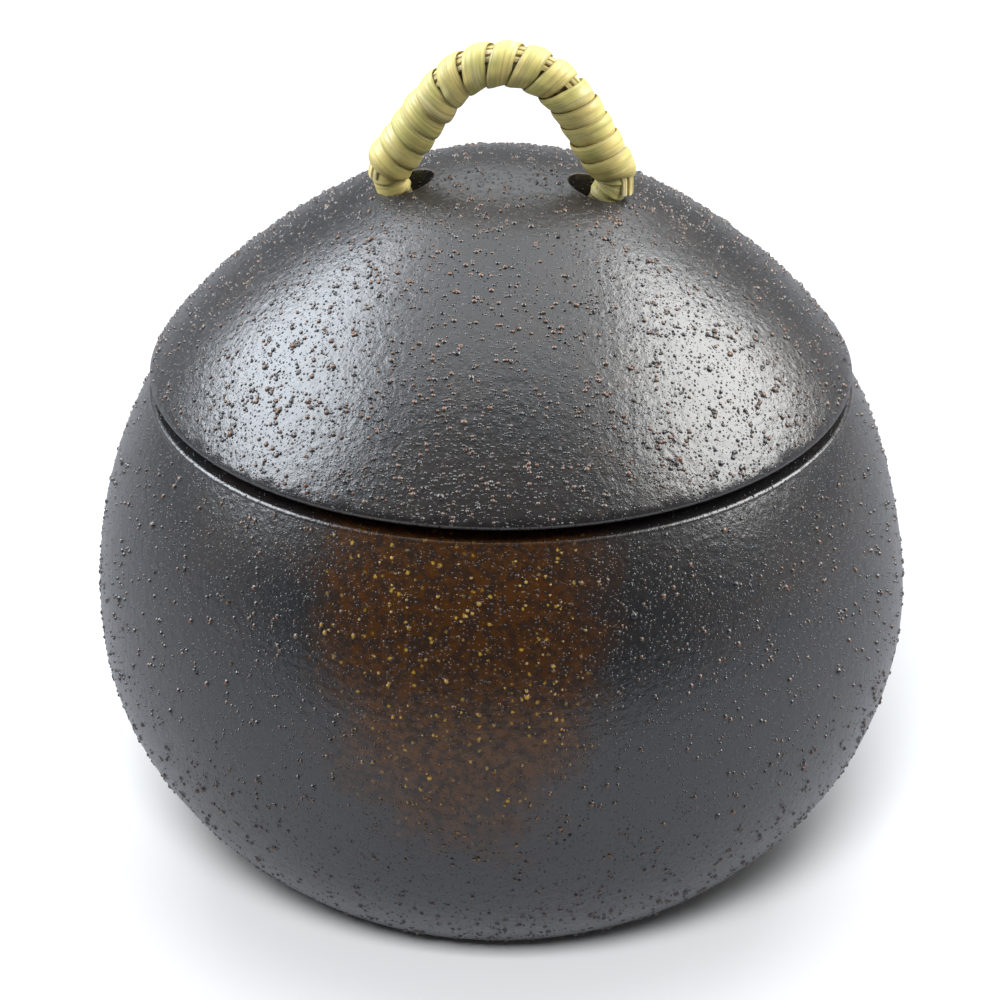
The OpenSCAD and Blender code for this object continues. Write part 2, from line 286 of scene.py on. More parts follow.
def fine_relief_group():
    """Small bumps and pits that the glaze leaves between the grains, in millimetres of height."""

    def fill(n, given):
        place = n.millimetres()
        cells = n.add("ShaderNodeTexVoronoi", Vector=place, Scale=given["Bumps per mm"], Randomness=0.8)
        size = n.fade(n.add("ShaderNodeSeparateColor", Color=cells["Color"])["Red"], 0.35, 1.0)
        bump = n.math("MULTIPLY", n.fade(cells["Distance"], 0.34, 0.0), size)
        pins = n.add("ShaderNodeTexVoronoi", Vector=place, Scale=n.math("MULTIPLY", given["Bumps per mm"], 1.9),
                     Randomness=0.8)
        size = n.fade(n.add("ShaderNodeSeparateColor", Color=pins["Color"])["Green"], 0.5, 1.0)
        bump = n.math("MULTIPLY_ADD", n.math("MULTIPLY", n.fade(pins["Distance"], 0.36, 0.0), size), 0.5, bump)
        peel = n.noise(place, 0.9, 3.0, 0.6)
        sum_up = n.math("MULTIPLY_ADD", bump, given["Bump height"], n.math("MULTIPLY", peel, given["Peel"]))
        return {"Height": sum_up}
    return node_group("Fine relief", {"Bumps per mm": ("value", 1.9), "Bump height": ("value", 0.05),
                                      "Peel": ("value", 0.08)}, {"Height": "value"}, fill)


def iron_glaze_group():
    """Dark iron glaze that thins to the clay's colour on the tips of the grains."""

    def fill(n, given):
        place = n.millimetres()
        cloud = n.fade(n.noise(place, 0.055, 3.0), 0.45, 0.68)
        mottle = n.noise(place, 0.8, 4.0, 0.65)
        ground = n.mix(cloud, given["Iron"], given["Thin"])
        ground = n.mix(given["Breaking"], ground, given["Breaking colour"])
        ground = n.mix(n.fade(mottle, 0.40, 0.60, 0.0, 0.70), ground, DARK_MOTTLE)
        tint = n.attribute("grain_tint")
        # Some of the grains break through the glaze at their tips.
        tip = n.math("MULTIPLY", n.fade(n.attribute("grain_tip"), 0.35, 0.85), n.fade(tint, 0.25, 0.60))
        shown = n.mix(given["Breaking"], given["Tip"], given["Gold"])
        ground = n.mix(n.math("MULTIPLY", tip, 0.85), ground, shown)
        # Grains too small to be modelled show as specks.
        wander = n.add("ShaderNodeTexNoise", Vector=place, Scale=2.2)["Color"]
        warped = n.vector("ADD", place, n.vector("SCALE", wander, scale=0.5))
        specks = n.add("ShaderNodeTexVoronoi", Vector=warped, Scale=0.95)
        pick = n.fade(n.add("ShaderNodeSeparateColor", Color=specks["Color"])["Red"], 0.62, 0.95)
        speck = n.math("MULTIPLY", n.fade(specks["Distance"], 0.32, 0.06), pick)
        strength = n.math("MULTIPLY_ADD", given["Breaking"], 0.72, 0.18)
        ground = n.mix(n.math("MULTIPLY", speck, strength), ground, shown)
        bare = n.attribute("bare_clay")
        clay = n.mix(n.fade(mottle, 0.3, 0.7), given["Clay"], n.vector("SCALE", given["Clay"], scale=0.55))
        rough = n.math("MULTIPLY_ADD", mottle, 0.16, given["Gloss roughness"])
        rough = n.math("MULTIPLY_ADD", tip, 0.14, rough)
        rough = n.math("MULTIPLY_ADD", bare, 0.42, rough, clamp=True)
        return {"Colour": n.mix(bare, ground, clay), "Roughness": rough}
    return node_group("Iron glaze", {
        "Iron": ("colour", (0.03, 0.03, 0.03)), "Thin": ("colour", (0.05, 0.04, 0.04)),
        "Tip": ("colour", (0.24, 0.1, 0.03)), "Gold": ("colour", (0.33, 0.2, 0.05)),
        "Clay": ("colour", (0.15, 0.08, 0.05)), "Breaking": ("value", 0.0),
        "Breaking colour": ("colour", (0.07, 0.02, 0.01)), "Gloss roughness": ("value", 0.30),
    }, {"Colour": "colour", "Roughness": "value"}, fill)


def throwing_lines_group():
    """Faint rings that the potter's fingers leave round a thrown wall, in millimetres of height."""

    def fill(n, given):
        place = n.millimetres()
        z = n.add("ShaderNodeSeparateXYZ", Vector=place)["Z"]
        level = n.math("MULTIPLY_ADD", n.noise(place, 0.07, 2.0), 5.0, z)
        wave = n.math("SINE", n.math("MULTIPLY", level, n.math("DIVIDE", 2 * math.pi, given["Pitch"])))
        where = n.fade(n.noise(place, 0.06, 1.0), given["Cover"], n.math("ADD", given["Cover"], 0.18))
        return {"Height": n.math("MULTIPLY", n.math("MULTIPLY", wave, where), given["Depth"])}
    return node_group("Throwing lines", {"Pitch": ("value", 0.9), "Depth": ("value", 0.02),
                                         "Cover": ("value", 0.5)}, {"Height": "value"}, fill)


def new_material(name):
    material = bpy.data.materials.new(name)
    material.use_nodes = True
    material.node_tree.nodes.clear()
    return material, Nodes(material.node_tree)


def finish_material(n, colour, rough, height, ior, **others):
    """The material's own shader. Height is in millimetres."""
    bump = n.add("ShaderNodeBump", Height=height, Distance=MM, Strength=1.0)["Normal"]
    shader = n.tree.nodes.new("ShaderNodeBsdfPrincipled")
    for key, value in {"Base Color": colour, "Roughness": rough, "Normal": bump, "IOR": ior, **others}.items():
        n.put(shader.inputs[key], value)
    n.add("ShaderNodeOutputMaterial", Surface=shader.outputs[0])


def stoneware_material(name, rust):
    g = bpy.context.scene.caddy_glaze
    material, n = new_material(name)
    place = n.millimetres()
    x, y, z = n.add("ShaderNodeSeparateXYZ", Vector=place).values()
    breaking, breaking_colour = 0.0, g.rust
    lines = n.group(throwing_lines_group(), Pitch=0.85, Depth=0.004, Cover=0.55)["Height"]
    if rust:
        u, v = (n.math("DIVIDE", n.math("SUBTRACT", axis, middle), half)
                for axis, middle, half in zip((x, z), PATCH_MIDDLE, PATCH_HALF))
        away = n.math("SQRT", n.math("ADD", n.math("MULTIPLY", u, u), n.math("MULTIPLY", v, v)))
        away = n.math("MULTIPLY_ADD", n.math("SUBTRACT", n.noise(place, 0.16, 4.0, 0.6), 0.5), 0.7, away)
        breaking = n.math("MULTIPLY", n.fade(away, 1.12, 0.62), n.fade(y, -20.0, -32.0))
        breaking_colour = n.mix(n.fade(z, 57.0, 43.0), g.rust, g.rust_fade)
    glaze = n.group(iron_glaze_group(), Iron=g.iron, Thin=g.iron_worn, Tip=g.tip, Gold=g.gold, Clay=g.clay,
                    Breaking=breaking, Breaking_colour=breaking_colour, Gloss_roughness=g.gloss_roughness)
    relief = n.group(fine_relief_group(), Bumps_per_mm=1.75, Bump_height=0.27, Peel=0.12)["Height"]
    # The brown glaze reflects a little less than the dark glaze.
    shine = {"Specular IOR Level": n.math("MULTIPLY_ADD", breaking, -0.24, 0.5)}
    finish_material(n, glaze["Colour"], glaze["Roughness"], n.math("ADD", relief, lines), 1.75, **shine)
    return material


def rattan_fibre_group():
    """Lengthwise fibres of rattan, from the piece's own lengthwise coordinate."""

    def fill(n, given):
        along, across, piece = n.add("ShaderNodeSeparateXYZ", Vector=n.attribute("fibre", "Vector")).values()
        along, across = n.math("MULTIPLY", along, 1000.0), n.math("MULTIPLY", across, 1000.0)

        def streaks(per_mm, stretch, detail):
            place = n.add("ShaderNodeCombineXYZ", X=n.math("MULTIPLY", along, per_mm * stretch),
                          Y=n.math("MULTIPLY", across, per_mm), Z=n.math("MULTIPLY", piece, 7.3))["Vector"]
            return n.noise(place, 1.0, detail, 0.6)
        fine, wide = streaks(3.2, 0.03, 3.0), streaks(0.9, 0.12, 3.0)
        slow = streaks(0.35, 0.7, 3.0)
        colour = n.mix(n.fade(slow, 0.42, 0.58), given["Skin"], given["Second"])
        colour = n.mix(n.fade(streaks(0.6, 0.25, 2.0), 0.50, 0.70, 0.0, 0.45), colour, given["Cream"])
        colour = n.mix(n.fade(wide, 0.48, 0.66, 0.0, given["Contrast"]), colour, given["Shade"])
        lines = n.fade(fine, 0.46, 0.60)
        colour = n.mix(n.math("MULTIPLY", lines, given["Contrast"]), colour, given["Shade"])
        rough = n.math("MULTIPLY_ADD", lines, 0.2, n.math("MULTIPLY_ADD", slow, 0.15, given["Base roughness"]))
        height = n.math("MULTIPLY", n.math("ADD", n.math("MULTIPLY", wide, 1.5), n.math("SUBTRACT", 1.0, lines)),
                        given["Relief"])
        return {"Colour": colour, "Roughness": rough, "Height": height}
    return node_group("Rattan fibre", {
        "Skin": ("colour", (0.5, 0.45, 0.2)), "Second": ("colour", (0.4, 0.4, 0.15)),
        "Shade": ("colour", (0.16, 0.12, 0.04)), "Cream": ("colour", (0.8, 0.71, 0.4)),
        "Contrast": ("value", 0.4), "Base roughness": ("value", 0.35), "Relief": ("value", 0.02),
    }, {"Colour": "colour", "Roughness": "value", "Height": "value"}, fill)


def rattan_material(kind):
    name = "rattan_" + kind
    material = bpy.data.materials.get(name)
    if material:
        return material
    r = bpy.context.scene.caddy_rattan
    skin, second, contrast, rough, relief = {
        "skin": (r.skin, r.skin_green, 0.28, 0.32, 0.022),
        "pale": (r.pale, r.skin, 0.45, 0.55, 0.035),
        "cane": (r.cane, r.pale, 0.50, 0.50, 0.040),
    }[kind]
    material, n = new_material(name)
    fibre = n.group(rattan_fibre_group(), Skin=skin, Second=second, Shade=r.shade, Cream=r.cream,
                    Contrast=contrast, Base_roughness=rough, Relief=relief)
    colour = fibre["Colour"]
    if kind == "skin":
        # Painted shade: the strip's colour is darkened towards its edges, in the creases between its turns, where
        # shade falls.
        across = n.add("ShaderNodeSeparateXYZ", Vector=n.attribute("fibre", "Vector"))["Y"]
        edge = n.fade(n.math("ABSOLUTE", across), 1.25 * MM, 1.6 * MM, 0.0, 0.40)
        colour = n.mix(edge, colour, r.shade)
    glow = {"Subsurface Weight": 0.12, "Subsurface Radius": (1.0, 0.7, 0.3), "Subsurface Scale": 0.4 * MM}
    finish_material(n, colour, fibre["Roughness"], fibre["Height"], 1.5, **glow)
    return material


# ---- turned outlines -------------------------------------------------------------------------


def jar_radius(z, inset=0.0):
    """Radius of the jar's outside, or of the surface inset inside it, at the height z."""
    s = bpy.context.scene.caddy_stoneware
    belly = s.belly_radius
    rim_z = JAR_BOX[1][2]
    upper = (rim_z - s.belly_height) / math.sqrt(1 - (s.rim_radius / belly) ** 2) - inset
    lower = s.belly_height / math.sqrt(1 - (s.foot_radius / belly) ** 2) - inset
    half = np.where(z > s.belly_height, upper, lower)
    return (belly - inset) * np.sqrt(np.maximum(0.0, 1 - ((z - s.belly_height) / half) ** 2))


def lid_dome(r, inner=False):
    """Height of the lid's outer or inner dome at the radius r."""
    s = bpy.context.scene.caddy_stoneware
    edge = s.lid_radius
    height = s.dome_height
    if inner:
        edge = s.rim_radius - s.rim_width - s.lid_play - s.ring_width
        height -= s.lid_wall
    base = LID_BOX[1][2] - s.dome_height
    return base + height * (1 - (np.minimum(r, edge) / edge) ** s.dome_power) ** s.dome_shoulder


def fillet(corners, radius, steps):
    """Rounds the inner corners of an open outline of (r, z) points."""
    out = [corners[0]]
    for before, corner, after in zip(corners, corners[1:], corners[2:]):
        a, b, c = (np.array(p, float) for p in (before, corner, after))
        to_a, to_c = a - b, c - b
        cut = min(radius, 0.45 * np.linalg.norm(to_a), 0.45 * np.linalg.norm(to_c))
        p, q = b + to_a / np.linalg.norm(to_a) * cut, b + to_c / np.linalg.norm(to_c) * cut
        for i in range(steps + 1):
            t = i / steps
            out.append(tuple((1 - t) ** 2 * p + 2 * t * (1 - t) * b + t * t * q))
    out.append(corners[-1])
    return out


def unit_rows(v):
    return v / np.linalg.norm(v, axis=1)[:, None]


class Outline:
    """A finely sampled outline, with the conformal radius that flattens its surface."""

    def __init__(self, r, z, disc):
        step = np.hypot(np.diff(r), np.diff(z))
        self.s = np.concatenate([[0], np.cumsum(step)])
        self.r, self.z, self.disc = r, z, disc
        size = np.hypot(np.gradient(r), np.gradient(z))
        self.tr, self.tz = np.gradient(r) / size, np.gradient(z) / size
        if disc:
            mean = 0.5 * (1 / r[1:-1] + 1 / r[2:])
            start = math.log(self.s[1])
            self.rho = np.concatenate([[0, self.s[1]], np.exp(start + np.cumsum(step[1:] * mean))])
        else:
            mean = 0.5 * (1 / r[:-1] + 1 / r[1:])
            self.rho = np.exp(np.concatenate([[0], np.cumsum(step * mean)]))
        self.area = 2 * math.pi * np.concatenate([[0], np.cumsum(step * 0.5 * (r[1:] + r[:-1]))])

    def at(self, s, values):
        return np.interp(s, self.s, values)

    def flat(self, s, theta):
        """Point of the flattened surface."""
        rho = self.at(s, self.rho)
        return np.stack([rho * np.cos(theta), rho * np.sin(theta)], -1)

    def solid(self, flat):
        """Places of flattened points, with their arc lengths and angles."""
        rho = np.hypot(flat[:, 0], flat[:, 1])
        theta = np.arctan2(flat[:, 1], flat[:, 0])
        s = np.interp(rho, self.rho, self.s)
        r = self.at(s, self.r)
        return np.stack([r * np.cos(theta), r * np.sin(theta), self.at(s, self.z)], -1), s, theta

    def axes(self, s, theta):
        """Unit vectors outwards, along the outline and round the axis."""
        tr, tz = self.at(s, self.tr), self.at(s, self.tz)
        size = np.hypot(tr, tz)
        tr, tz = tr / size, tz / size
        c, d = np.cos(theta), np.sin(theta)
        turn = 1.0 if self.disc else -1.0
        normal = np.stack([-tz * c, -tz * d, tr], -1) * turn
        return normal, np.stack([tr * c, tr * d, tz], -1), np.stack([-d, c, np.zeros_like(c)], -1)


# ---- grained surface -------------------------------------------------------------------------


def scatter_grains(outline, coarse, fine, rng, clear, margin):
    """Places the grains: rows of (flat x, flat y, radius, height, stretch, turn, tint)."""
    total = outline.area[-1] / MM**2
    count = int(total * (coarse + fine))
    coarse_count = int(total * coarse)
    s = np.interp(rng.random(count) * outline.area[-1], outline.area, outline.s)
    theta = rng.random(count) * 2 * math.pi
    radius = np.empty(count)
    radius[:coarse_count] = np.clip(rng.lognormal(math.log(0.29), 0.24, coarse_count), 0.20, 0.55)
    radius[coarse_count:] = rng.uniform(0.13, 0.20, count - coarse_count)
    # Some of the grains sit close beside another one.
    beside = np.nonzero(rng.random(count) < 0.25)[0]
    for i in beside:
        j = rng.integers(0, coarse_count)
        away = (radius[i] + radius[j]) * rng.uniform(0.8, 1.5) * MM
        turn = rng.random() * 2 * math.pi
        s[i] = s[j] + away * math.cos(turn)
        theta[i] = theta[j] + away * math.sin(turn) / max(outline.at(s[j], outline.r), MM)
    keep = (s > margin[0]) & (s < outline.s[-1] - margin[1])
    flat = outline.flat(s, theta)
    keep &= clear(flat)
    height = radius * rng.uniform(0.5, 0.85, count)
    rows = np.column_stack([flat, radius * MM, height * MM, rng.uniform(0.75, 1.0, count),
                            rng.random(count) * math.pi, rng.random(count)])
    return rows[keep], (radius >= 0.2)[keep]


def ring_points(outline, grains, size, count, rng):
    """Flattened points on an oval round each grain."""
    rho = np.hypot(grains[:, 0], grains[:, 1])
    scale = rho / np.maximum(outline.at(np.interp(rho, outline.rho, outline.s), outline.r), 1e-6)
    out = grains[:, :2] / np.maximum(rho, 1e-9)[:, None]
    side = np.stack([-out[:, 1], out[:, 0]], 1)
    start = rng.random(len(grains)) * 2 * math.pi
    rows = []
    for i in range(count):
        a = start + 2 * math.pi * i / count
        u, v = np.cos(a) * size, np.sin(a) * size * grains[:, 4]
        du = (u * np.cos(grains[:, 5]) - v * np.sin(grains[:, 5])) * grains[:, 2] * scale
        dv = (u * np.sin(grains[:, 5]) + v * np.cos(grains[:, 5])) * grains[:, 2] * scale
        rows.append(grains[:, :2] + out * du[:, None] + side * dv[:, None])
    return rows


def spatial_tree(places):
    tree = kdtree.KDTree(len(places))
    for i, p in enumerate(places):
        tree.insert(p, i)
    tree.balance()
    return tree


def smooth_points(outline, step, rng):
    """Evenly spread points between the grains."""
    base = []
    rows = int(outline.s[-1] / step)
    for i in range(1, rows):
        s = outline.s[-1] * i / rows
        n = max(5, int(2 * math.pi * outline.at(s, outline.r) / step))
        theta = (np.arange(n) + rng.random() + rng.uniform(-0.22, 0.22, n)) / n * 2 * math.pi
        base.append(outline.flat(s + rng.uniform(-0.2, 0.2, n) * step, theta))
    return np.concatenate(base)


def grained_surface(outline, columns, coarse, fine, seed, uneven, step, holes=()):
    """One surface with its grains as real relief. holes are rings of flattened points."""
    rng = np.random.default_rng(seed)
    margin = (-1.0 if outline.disc else 0.5 * MM, 0.5 * MM)

    def clear(flat, by=1.15):
        ok = np.ones(len(flat), bool)
        for h in holes:
            middle = h.mean(0)
            ok &= np.linalg.norm(flat - middle, axis=1) > np.linalg.norm(h - middle, axis=1).max() * by
        return ok
    grains, is_coarse = scatter_grains(outline, coarse, fine, rng, clear, margin)
    rings = ring_points(outline, grains[is_coarse], 1.0, 8, rng)
    rings += ring_points(outline, grains[is_coarse], 0.62, 6, rng)
    rings += ring_points(outline, grains[~is_coarse], 1.0, 5, rng)
    base = smooth_points(outline, step, rng)
    free = clear(base)
    if len(grains):
        tree = spatial_tree(outline.solid(grains[:, :2])[0])
        for i, p in enumerate(outline.solid(base)[0]):
            _, j, d = tree.find(p)
            free[i] &= d > 1.35 * grains[j, 2]

    turn = np.arange(columns) / columns * 2 * math.pi
    parts = [outline.flat(np.full(columns, outline.s[-1]), turn)]
    if not outline.disc:
        parts.append(outline.flat(np.zeros(columns), turn))
    parts += list(holes)
    sizes = np.cumsum([0] + [len(part) for part in parts])
    loops = [np.arange(a, b) for a, b in zip(sizes, sizes[1:])]
    flat = np.concatenate(parts + [grains[:, :2]] + rings + [base[free]])
    _, _, found, source, _, _ = geometry.delaunay_2d_cdt([Vector(q) for q in flat.tolist()], [], [], 0, 1e-9, True)
    first = np.array([ids[0] for ids in source])
    faces = first[np.array([tuple(f) for f in found])]
    # Triangles that only join points of one inner ring close a hole: they go.
    ring_of = np.full(len(flat), -1)
    for k, loop in enumerate(loops[1:]):
        ring_of[loop] = k
    r3 = ring_of[faces]
    faces = faces[~((r3[:, 0] >= 0) & (r3[:, 0] == r3[:, 1]) & (r3[:, 1] == r3[:, 2]))]

    place, s, theta = outline.solid(flat)
    normal, along, side = outline.axes(s, theta)
    height, tip, tint = np.zeros(len(place)), np.zeros(len(place)), np.zeros(len(place))
    slope, reach = np.zeros((len(place), 3)), np.full(len(place), 9.0)
    tree = spatial_tree(place)
    centre, gs, gt = outline.solid(grains[:, :2])
    _, g_along, g_side = outline.axes(gs, gt)
    for c, e1, e2, g in zip(centre, g_along, g_side, grains):
        for co, j, _ in tree.find_range(c, g[2] * 1.02):
            d = np.array(co) - c
            u, v = float(d @ e1), float(d @ e2)
            x = (u * math.cos(g[5]) + v * math.sin(g[5])) / g[2]
            y = (-u * math.sin(g[5]) + v * math.cos(g[5])) / (g[2] * g[4])
            q = math.hypot(x, y)
            h = g[3] * max(0.0, 1 - q * q) ** 0.7
            reach[j] = min(reach[j], q)
            if q < 1.01 and h >= height[j]:
                height[j], tip[j], tint[j] = h, max(0.0, 1 - q * q), g[6]
                if q > 1e-3:
                    tilt = math.tan(math.radians(58) * min(q, 1.0) ** 0.9)
                    slope[j] = (e1 * u + e2 * v) / math.hypot(u, v) * tilt

    low, low_s, low_t = uneven(s, theta, outline.at(s, outline.r))
    fade = np.clip((outline.s[-1] - s) / (4 * MM), 0, 1)
    if not outline.disc:
        fade *= np.clip(s / (4 * MM), 0, 1)
    smooth = unit_rows(normal - along * (low_s * fade)[:, None] - side * (low_t * fade)[:, None])
    steep = unit_rows(smooth + slope)
    a, b, c = (place[faces[:, k]] for k in range(3))
    turned = (np.cross(b - a, c - a) * normal[faces[:, 0]]).sum(1) < 0
    faces[turned] = faces[turned][:, ::-1]
    on_grain = (reach[faces] < 0.93).any(1)
    corner = np.where(on_grain[:, None, None], steep[faces], smooth[faces])
    polar = np.stack([s, theta], 1)
    return {"place": place + normal * (height + low * fade)[:, None], "faces": faces, "corner": corner,
            "tip": tip, "tint": tint, "loops": loops, "polar": polar}


def uneven_wall(seed, amount):
    """A slow unevenness of a hand-thrown wall: its height and its slopes along and around."""
    rng = np.random.default_rng(seed)
    waves = [(rng.uniform(0.10, 0.28) / MM, int(rng.integers(0, 4)), rng.random() * 6.28,
              rng.uniform(0.5, 1.0) * amount) for _ in range(7)]

    def at(s, theta, r):
        h, along, around = np.zeros(len(s)), np.zeros(len(s)), np.zeros(len(s))
        for k, m, phase, a in waves:
            angle = k * s + m * theta + phase
            h += a * np.sin(angle)
            along += a * k * np.cos(angle)
            around += a * m * np.cos(angle) / np.maximum(r, 6 * MM)
        return h, along, around
    return at


# ---- mesh helpers ----------------------------------------------------------------------------


def add_mesh(name, points, faces, material, smooth=False):
    """A new object in the scene, with a mesh and one material of its own."""
    mesh = bpy.data.meshes.new(name)
    mesh.from_pydata(points, [], faces)
    mesh.polygons.foreach_set("use_smooth", [smooth] * len(mesh.polygons))
    mesh.materials.append(material)
    piece = bpy.data.objects.new(name, mesh)
    bpy.context.scene.collection.objects.link(piece)
    return piece


def mark_points(mesh, key, kind, values):
    layer = mesh.attributes.new(key, kind, "POINT")
    field = "value" if kind == "FLOAT" else "vector"
    layer.data.foreach_set(field, np.concatenate(values).astype(np.float32).ravel())


class Shell:
    """A mesh that grows from grained surfaces and turned bands, with its own corner normals."""

    def __init__(self):
        self.place, self.faces, self.corner, self.uv = [], [], [], []
        self.tip, self.tint, self.bare = [], [], []
        self.count = 0

    def points(self, place, tip=0.0, tint=0.0, bare=0.0):
        n = len(place)
        self.place.append(np.asarray(place))
        for values, target in ((tip, self.tip), (tint, self.tint), (bare, self.bare)):
            target.append(np.broadcast_to(values, n))
        self.count += n
        return np.arange(self.count - n, self.count)

    def surface(self, got, centre, scale, offset=0.0, inward=False, bare=0.0):
        """Adds a grained surface and returns its rings' point numbers."""
        ids = self.points(got["place"], got["tip"], got["tint"], bare)
        faces, corner = got["faces"], got["corner"]
        if inward:
            faces, corner = faces[:, ::-1], -corner[:, ::-1]
        polar = got["polar"][faces]
        radius = (polar[..., 0] + offset) * scale
        uv = np.stack([centre[0] + radius * np.cos(polar[..., 1]), centre[1] + radius * np.sin(polar[..., 1])], -1)
        self.faces.extend(map(tuple, ids[faces].tolist()))
        self.corner.append(corner.reshape(-1, 3))
        self.uv.append(uv.reshape(-1, 2))
        return [ids[loop] for loop in got["loops"]]

    def bands(self, rows, normals, first, last, bare, uv):
        """Joins rows of points with quads; normals holds a start and an end array for each band.

        first and last are the point numbers of rows that are there already, or None.
        """
        rings = []
        for k, row in enumerate(rows):
            if k == 0 and first is not None:
                rings.append(first)
            elif k == len(rows) - 1 and last is not None:
                rings.append(last)
            else:
                rings.append(self.points(row, bare=bare[k]))
        for k, (start, end) in enumerate(normals):
            a, b = rings[k], rings[k + 1]
            n = len(a)
            i = np.arange(n)
            j = (i + 1) % n
            pa, pb = rows[k], rows[k + 1]
            point = len(b) == 1
            if point:
                quads = np.stack([a[i], a[j], np.full(n, b[0])], 1)
                corner = np.stack([start[i], start[j], end[i]], 1)
                area = np.cross(pa[j] - pa[i], pb[0] - pa[i])
                index = [(k, i), (k, j), (k + 1, i)]
            else:
                quads = np.stack([a[i], a[j], b[j], b[i]], 1)
                corner = np.stack([start[i], start[j], end[j], end[i]], 1)
                area = np.cross(pb[j] - pa[i], pb[i] - pa[j])
                index = [(k, i), (k, j), (k + 1, j), (k + 1, i)]
            place = np.stack([uv(row, column, n, c in (1, 2) and not (point and c == 2))
                              for c, (row, column) in enumerate(index)], 1)
            if (area * start).sum() < 0:
                quads, corner, place = quads[:, ::-1], corner[:, ::-1], place[:, ::-1]
            self.faces.extend(map(tuple, quads.tolist()))
            self.corner.append(corner.reshape(-1, 3))
            self.uv.append(place.reshape(-1, 2))

    def lathe(self, outline, columns, centre, radii, sign, first, last, bare):
        """Turns an open outline of (r, z) points round the axis; radii are its flat pattern's own."""
        p = np.array(outline, float)
        turn = np.arange(columns) / columns * 2 * math.pi
        c, d = np.cos(turn), np.sin(turn)
        step = np.diff(p, axis=0)
        n = unit_rows(np.stack([step[:, 1], -step[:, 0]], 1) * sign)
        start, end = n.copy(), n.copy()
        for i in range(1, len(n)):
            if n[i - 1] @ n[i] > 0.75:
                start[i] = end[i - 1] = (n[i - 1] + n[i]) / np.linalg.norm(n[i - 1] + n[i])

        def spin(v):
            return np.stack([v[0] * c, v[0] * d, np.full(columns, v[1])], 1)
        rows = [spin(q) if q[0] > 1e-6 else np.array([[0, 0, q[1]]]) for q in p]
        arc = np.concatenate([[0], np.cumsum(np.linalg.norm(step, axis=1))])
        arc = radii[0] + (radii[1] - radii[0]) * arc / arc[-1]

        def uv(row, column, n_cols, wraps):
            a = column / n_cols * 2 * math.pi
            return np.stack([centre[0] + arc[row] * np.cos(a), centre[1] + arc[row] * np.sin(a)], 1)
        self.bands(rows, [(spin(a), spin(b)) for a, b in zip(start, end)], first, last, bare, uv)

    def build(self, name, material):
        piece = add_mesh(name, np.concatenate(self.place).tolist(), self.faces, material, smooth=True)
        mesh = piece.data
        layer = mesh.uv_layers.new(name="OFBake")
        layer.data.foreach_set("uv", np.concatenate(self.uv).astype(np.float32).ravel())
        for key, values in (("grain_tip", self.tip), ("grain_tint", self.tint), ("bare_clay", self.bare)):
            mark_points(mesh, key, "FLOAT", values)
        mesh.update()
        mesh.normals_split_custom_set(unit_rows(np.concatenate(self.corner)).tolist())
        return piece


# ---- stoneware -------------------------------------------------------------------------------


def round_rim(centre, radius, a0, a1, steps=5):
    return [(centre[0] + radius * math.cos(math.radians(a)), centre[1] + radius * math.sin(math.radians(a)))
            for a in np.linspace(a0, a1, steps + 1)]


def build_jar():
    s = bpy.context.scene.caddy_stoneware
    rim_z, edge = JAR_BOX[1][2], RIM_ROUND
    columns = 300
    z = np.linspace(FOOT_BEVEL, rim_z - edge, 3000)
    outline = Outline(jar_radius(z), z, disc=False)
    wall = grained_surface(outline, columns, s.coarse_jar, s.fine_jar, s.seed,
                           uneven_wall(s.seed + 1, 0.035 * MM), s.mesh_step)
    shell = Shell()
    foot_uv = 20 * MM
    scale = 0.30 / (outline.s[-1] + foot_uv)
    rim, foot = shell.surface(wall, (0.305, 0.5), scale, offset=foot_uv)
    # Over the rim, down the gallery and the inside to the middle of the floor.
    top_r = float(jar_radius(rim_z - edge))
    seat_r = s.rim_radius - s.rim_width
    ledge_r, ledge_z = seat_r - s.ledge_width, rim_z - s.ledge_drop
    lip_z = ledge_z - LEDGE_LIP
    corbel_z = lip_z - CORBEL_HEIGHT
    over = round_rim((top_r - edge, rim_z - edge), edge, 0, 90) + round_rim(
        (seat_r + edge, rim_z - edge), edge, 90, 180)
    floor_z = FLOOR_LEVEL
    gallery = [over[-1], (seat_r, ledge_z), (ledge_r, ledge_z), (ledge_r, lip_z),
               (float(jar_radius(corbel_z, s.jar_wall)), corbel_z)]
    inside = [(float(jar_radius(v, s.jar_wall)), v) for v in np.linspace(corbel_z, 11 * MM, 22)]
    corner = fillet([inside[-1], (float(jar_radius(floor_z, s.jar_wall)) - 1 * MM, floor_z), (24 * MM, floor_z)],
                    8 * MM, 6)
    inner = over[:-1] + fillet(gallery, 0.35 * MM, 3)[:-1] + inside[:-1] + corner + [(0.0, floor_z)]
    raw = np.array([1.0 if v > lip_z - 1 * MM and r < seat_r + 0.2 * MM else 0.0 for r, v in inner])
    shell.lathe(inner, columns, (0.80, 0.5), (0.19, 0.0), 1, rim, None, raw)
    foot_in = s.foot_radius - FOOT_RING
    under = fillet([(float(jar_radius(FOOT_BEVEL)), FOOT_BEVEL), (s.foot_radius - 0.9 * MM, 0.0),
                    (foot_in, 0.0), (foot_in - FOOT_RECESS, FOOT_RECESS), (0.0, FOOT_RECESS)], 0.3 * MM, 3)
    shell.lathe(under, columns, (0.305, 0.5), (foot_uv * scale, 0.0), -1, foot, None, np.ones(len(under)))
    return shell.build("jar_stoneware", stoneware_material("jar_glaze", rust=True))


